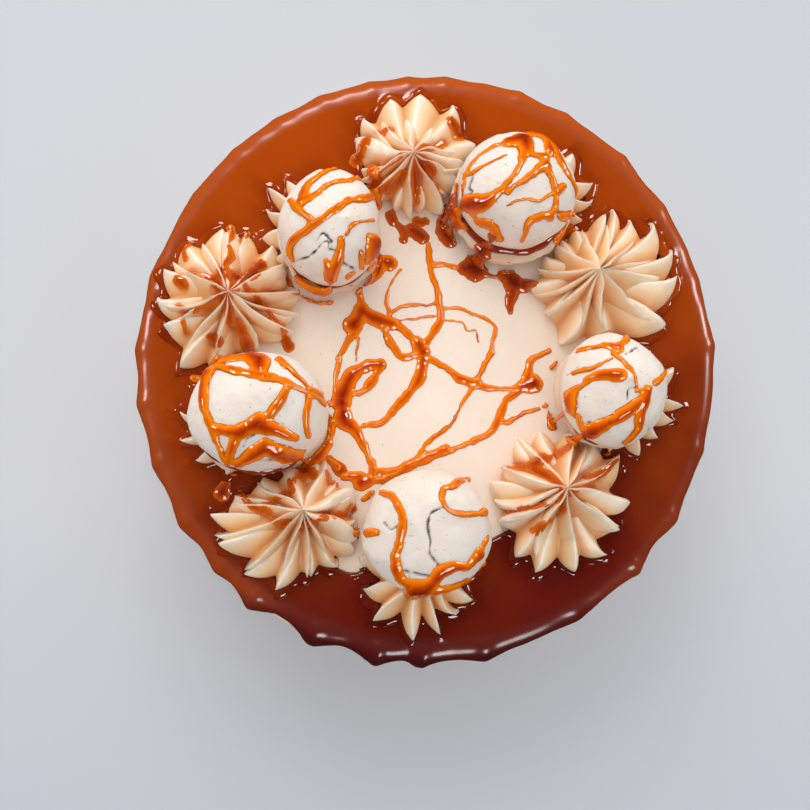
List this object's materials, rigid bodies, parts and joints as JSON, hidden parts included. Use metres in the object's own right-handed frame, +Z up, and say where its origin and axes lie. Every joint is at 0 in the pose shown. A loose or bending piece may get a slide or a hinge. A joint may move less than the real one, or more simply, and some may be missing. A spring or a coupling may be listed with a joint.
{
  "type": "caramel layer cake",
  "caption": "Whole round layer cake with a dripping caramel glaze, piped cream rosettes and baked meringues round its top.",
  "frame": {"origin": "centre of the cake's flat underside", "axes": "+Z up through the cake, +X and +Y level across it"},
  "size_m": [0.2135, 0.2183, 0.1073],
  "materials": {
    "cream_coat": "smooth spread buttercream, satin, with faint palette knife marks",
    "caramel": "glossy translucent caramel, orange where it is thin and red-brown where it is thick",
    "piped_cream": "piped caramel buttercream, satin, with sharp blades",
    "baked_meringue": "dry matte meringue crust with fine cracks"
  },
  "bodies": {
    "root": {"cake_body": "cream_coat", "caramel_glaze": "caramel", "rosette_01": "piped_cream", "rosette_02": "piped_cream", "rosette_03": "piped_cream", "rosette_04": "piped_cream", "rosette_05": "piped_cream", "rosette_06": "piped_cream", "rosette_07": "piped_cream", "rosette_08": "piped_cream", "rosette_09": "piped_cream", "rosette_10": "piped_cream", "meringue_02": "baked_meringue", "meringue_04": "baked_meringue", "meringue_06": "baked_meringue", "meringue_08": "baked_meringue", "meringue_10": "baked_meringue"}
  },
  "joints": []
}
